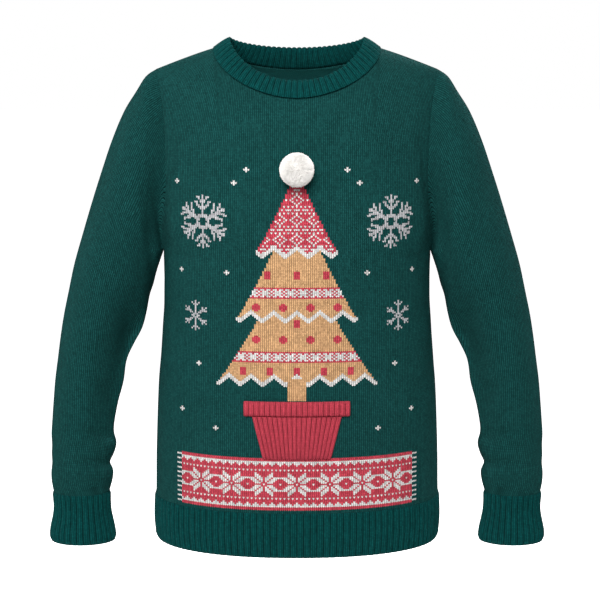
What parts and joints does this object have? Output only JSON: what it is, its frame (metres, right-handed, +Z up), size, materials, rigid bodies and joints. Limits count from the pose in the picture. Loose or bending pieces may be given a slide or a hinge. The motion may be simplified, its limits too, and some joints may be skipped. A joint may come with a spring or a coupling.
{
  "type": "christmas jumper",
  "caption": "Long-sleeved knitted crew-neck jumper, hollow as worn, with ribbed neckband, cuffs and hem, and a ribbed plant-pot patch and a pompom on the front.",
  "frame": {"origin": "middle of the neck opening, level with the highest points of the shoulder seams, where the jumper rests on its wearer", "axes": "+X to the right of someone who faces the front, -Y out of the front, +Z up"},
  "size_m": [0.6844, 0.2671, 0.6886],
  "materials": {
    "green_wool": "fine knit, matt with a soft nap",
    "red_wool": "ribbed knit, matt",
    "white_pile": "dense short pile"
  },
  "bodies": {
    "root": {"front_panel": "green_wool", "back_panel": "green_wool", "hem_rib_front": "green_wool", "hem_rib_back": "green_wool", "sleeve_right": "green_wool", "sleeve_left": "green_wool", "cuff_right": "green_wool", "cuff_left": "green_wool", "neckband": "green_wool", "pot_patch": "red_wool", "pot_rim": "red_wool", "pompom": "white_pile"}
  },
  "joints": []
}
